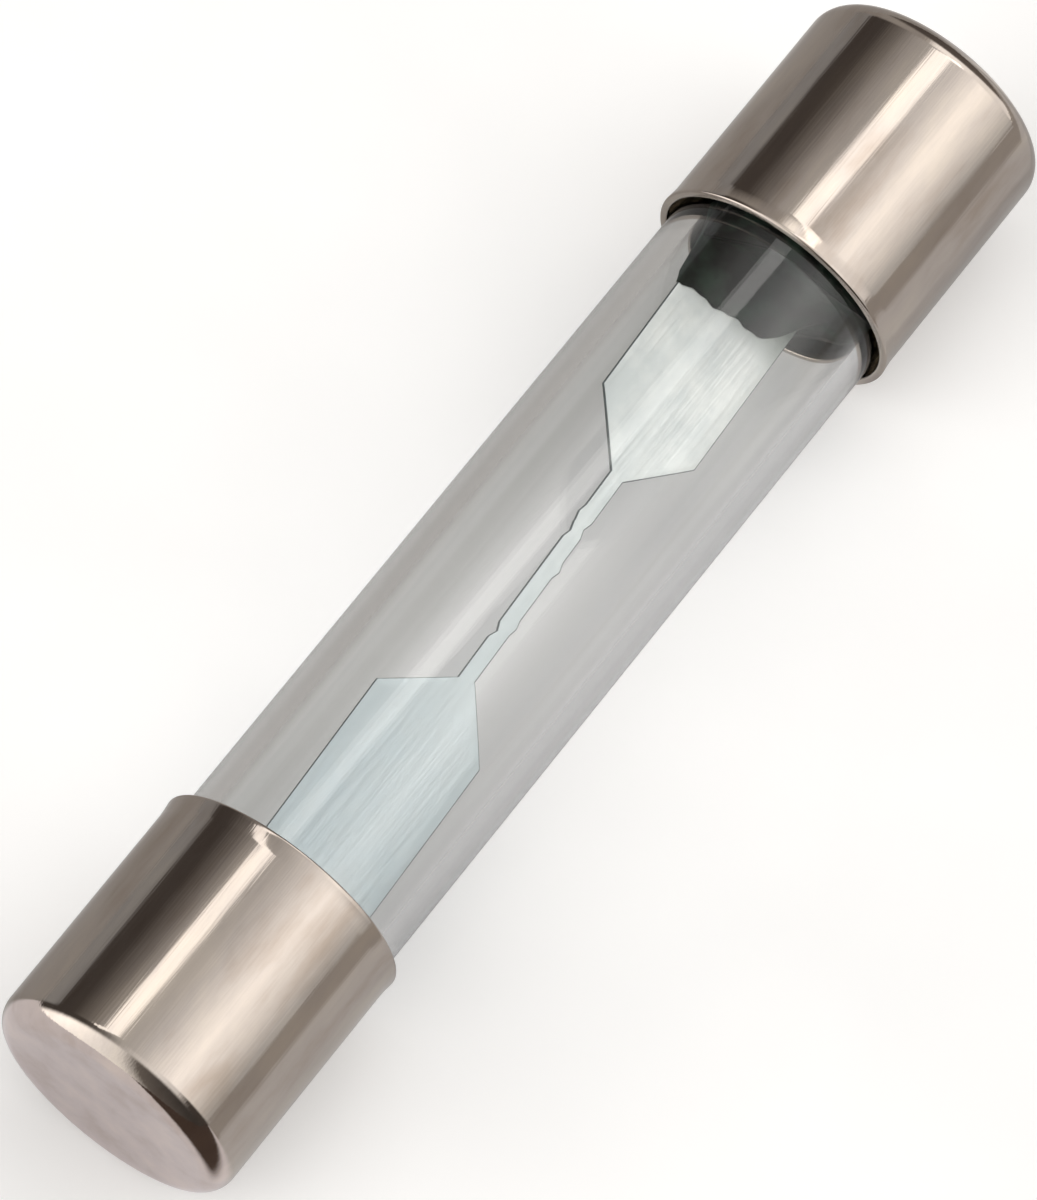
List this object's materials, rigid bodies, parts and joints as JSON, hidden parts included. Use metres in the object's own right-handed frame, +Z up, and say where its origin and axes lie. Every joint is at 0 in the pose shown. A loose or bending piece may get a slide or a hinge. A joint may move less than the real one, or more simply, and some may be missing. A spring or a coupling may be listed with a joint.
{
  "type": "glass cartridge fuse",
  "caption": "Glass-tube cartridge fuse with drawn metal end caps and a stamped fuse strip soldered between them.",
  "frame": {"origin": "centre of the fuse, on the tube's axis, half way between the two end faces", "axes": "+X along the fuse towards the far cap, +Z up, +Y to the left when looking along +X; the fuse lies on its cap lips"},
  "size_m": [0.0318, 0.0064, 0.0064],
  "materials": {
    "tube_glass": "clear drawn soda-lime glass",
    "cap_metal": "polished nickel plate on brass",
    "strip_zinc": "rolled and stamped zinc, matt",
    "solder": "dull solder with dark flux residue",
    "cement": "dried cement"
  },
  "bodies": {
    "root": {"glass_tube": "tube_glass", "end_cap_near": "cap_metal", "end_cap_far": "cap_metal", "fuse_element": "strip_zinc", "solder_joint_near": "solder", "solder_joint_far": "solder", "cement_ring_near": "cement", "cement_ring_far": "cement"}
  },
  "joints": []
}
